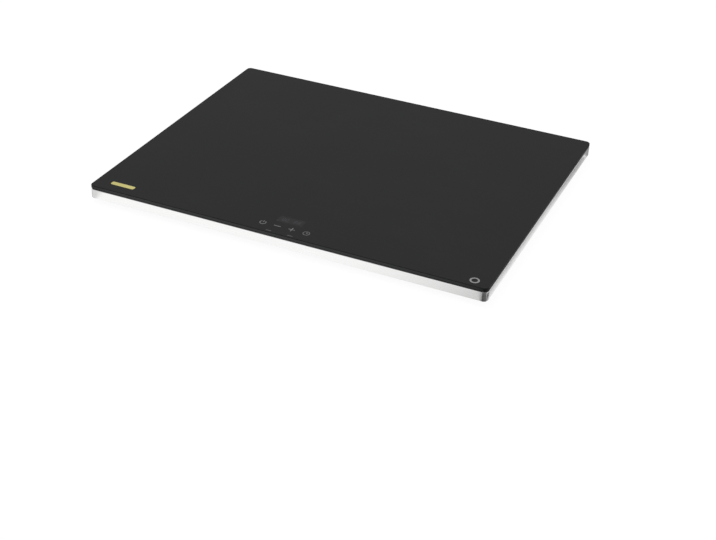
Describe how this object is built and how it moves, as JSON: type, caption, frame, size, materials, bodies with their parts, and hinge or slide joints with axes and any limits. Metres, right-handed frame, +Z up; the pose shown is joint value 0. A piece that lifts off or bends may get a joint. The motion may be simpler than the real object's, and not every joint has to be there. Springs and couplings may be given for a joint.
{
  "type": "electric food warmer tray",
  "caption": "Slim rectangular warming tray: black glass hot plate with touch keys, bright metal edge, heating cable under a spreader plate, steel base pan and rubber feet.",
  "frame": {"origin": "middle of the tray's footprint, on the plane that the feet stand on", "axes": "+X to the user's right, +Y to the back of the tray, +Z up; the touch keys are at the front, on the -Y side"},
  "size_m": [0.5, 0.4015, 0.023],
  "materials": {
    "glass_top": "black printed on its underside, gloss",
    "glass_seal": "black silicone",
    "perimeter_frame": "satin bright",
    "cord_gland": "matt",
    "base_pan": "matt powder coat",
    "base_screws": "zinc plated",
    "foot_screws": "zinc plated",
    "bonding_film": "thermal film",
    "spreader_plate": "mill finish",
    "heating_cable": "silicone sheath",
    "cable_retainers": "pressed strip",
    "cable_crimps": "plain",
    "insulation_blanket": "ceramic fibre",
    "temperature_sensor": "plated",
    "thermal_cutout": "moulded",
    "panel_carrier": "moulded",
    "touch_board": "lacquered laminate",
    "touch_pads": "conductive foam",
    "display_module": "tinted face",
    "key_lamps": "clear",
    "panel_screws": "zinc plated",
    "power_board": "lacquered laminate",
    "board_standoffs": "nylon",
    "board_screws": "zinc plated",
    "triac_heatsink": "extruded",
    "triac": "moulded, metal tab",
    "suppression_capacitor": "moulded box",
    "smoothing_capacitor": "sleeved can",
    "mains_fuse": "ceramic, plated caps",
    "fuse_clips": "tinned",
    "controller_chip": "moulded",
    "mains_socket": "nylon",
    "heater_socket": "nylon",
    "ribbon_sockets": "moulded",
    "panel_ribbon": "grey flat cable",
    "sensor_socket": "nylon",
    "terminal_block": "moulded",
    "terminal_screws": "plain",
    "supply_leads": "silicone insulation",
    "earth_lead": "silicone insulation",
    "earth_screw": "plain",
    "heater_leads": "glass-braid sleeve",
    "sensor_lead": "thin twin lead",
    "lead_clips": "nylon",
    "foot_front_left": "matt",
    "foot_front_right": "matt",
    "foot_back_left": "matt",
    "foot_back_right": "matt"
  },
  "bodies": {
    "root": {"glass_top": "glass_top", "glass_seal": "glass_seal", "perimeter_frame": "perimeter_frame", "cord_gland": "cord_gland", "base_pan": "base_pan", "base_screws": "base_screws", "foot_screws": "foot_screws", "bonding_film": "bonding_film", "spreader_plate": "spreader_plate", "heating_cable": "heating_cable", "cable_retainers": "cable_retainers", "cable_crimps": "cable_crimps", "insulation_blanket": "insulation_blanket", "temperature_sensor": "temperature_sensor", "thermal_cutout": "thermal_cutout", "panel_carrier": "panel_carrier", "touch_board": "touch_board", "touch_pads": "touch_pads", "display_module": "display_module", "key_lamps": "key_lamps", "panel_screws": "panel_screws", "power_board": "power_board", "board_standoffs": "board_standoffs", "board_screws": "board_screws", "triac_heatsink": "triac_heatsink", "triac": "triac", "suppression_capacitor": "suppression_capacitor", "smoothing_capacitor": "smoothing_capacitor", "mains_fuse": "mains_fuse", "fuse_clips": "fuse_clips", "controller_chip": "controller_chip", "mains_socket": "mains_socket", "heater_socket": "heater_socket", "ribbon_sockets": "ribbon_sockets", "panel_ribbon": "panel_ribbon", "sensor_socket": "sensor_socket", "terminal_block": "terminal_block", "terminal_screws": "terminal_screws", "supply_leads": "supply_leads", "earth_lead": "earth_lead", "earth_screw": "earth_screw", "heater_leads": "heater_leads", "sensor_lead": "sensor_lead", "lead_clips": "lead_clips", "foot_front_left": "foot_front_left", "foot_front_right": "foot_front_right", "foot_back_left": "foot_back_left", "foot_back_right": "foot_back_right"}
  },
  "joints": []
}
